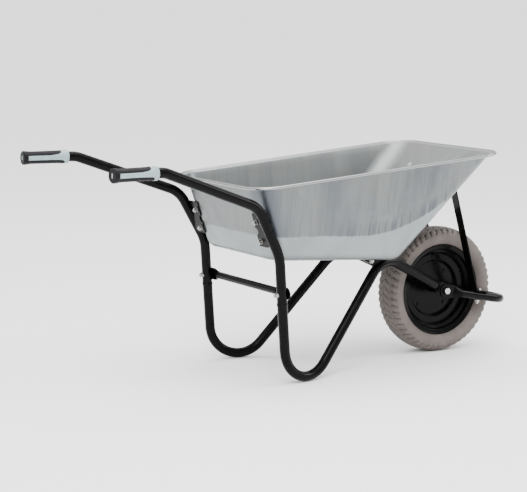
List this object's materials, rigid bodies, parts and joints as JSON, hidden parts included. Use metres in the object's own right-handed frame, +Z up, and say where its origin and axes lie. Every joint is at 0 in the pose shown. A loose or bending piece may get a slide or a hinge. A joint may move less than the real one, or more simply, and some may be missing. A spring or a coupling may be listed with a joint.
{
  "type": "wheelbarrow",
  "caption": "Single-wheel barrow: a pressed metal tray on a bent tube frame with two long handles, bent legs, a nose hoop and a dished steel wheel with a solid tyre.",
  "frame": {"origin": "on the ground, in the middle of the overall length and width", "axes": "+X forwards to the wheel, +Y to the left of someone pushing, +Z up"},
  "size_m": [1.5687, 0.614, 0.6675],
  "materials": {
    "galvanised_sheet": "hot-dip galvanised sheet, deep-drawn, with vertical draw streaks and a smoother lower band",
    "frame_paint": "gloss black paint",
    "wheel_paint": "gloss black paint",
    "grip_rubber": "soft matt black",
    "grip_core": "moulded, pale blue grey",
    "tyre": "matt taupe grey, moulded tread",
    "zinc_plate": "bright zinc plate",
    "bush_plastic": "moulded, off-white"
  },
  "bodies": {
    "chassis": {"axle_bolt": "zinc_plate", "axle_locknut": "zinc_plate", "axle_spacer_left": "zinc_plate", "axle_spacer_right": "zinc_plate", "axle_washers": "frame_paint", "brace_bolts": "zinc_plate", "brace_nuts": "zinc_plate", "brace_washers": "zinc_plate", "cross_brace": "frame_paint", "front_bracket_left": "frame_paint", "front_bracket_right": "frame_paint", "grip_core_left": "grip_core", "grip_core_right": "grip_core", "grip_left": "grip_rubber", "grip_right": "grip_rubber", "handle_tube_left": "frame_paint", "handle_tube_right": "frame_paint", "leg_tube_left": "frame_paint", "leg_tube_right": "frame_paint", "nose_hoop": "frame_paint", "rear_bracket_left": "frame_paint", "rear_bracket_right": "frame_paint", "stay_bolts": "zinc_plate", "stay_left": "frame_paint", "stay_nuts": "zinc_plate", "stay_right": "frame_paint", "stay_washers": "zinc_plate", "tray": "galvanised_sheet", "tray_bolts": "zinc_plate", "tray_nuts": "zinc_plate", "tray_washers": "zinc_plate"},
    "wheel": {"hub_bush_left": "bush_plastic", "hub_bush_right": "bush_plastic", "hub_tube": "wheel_paint", "rim_half_left": "wheel_paint", "rim_half_right": "wheel_paint", "rim_rivets": "wheel_paint", "tyre": "tyre", "valve_plug": "wheel_paint"}
  },
  "joints": [
    {"name": "wheel_spin", "type": "hinge", "parent": "chassis", "child": "wheel", "pos_m": [0.5195, 0, 0.2], "axis": [0, 1, 0], "continuous": true}
  ]
}
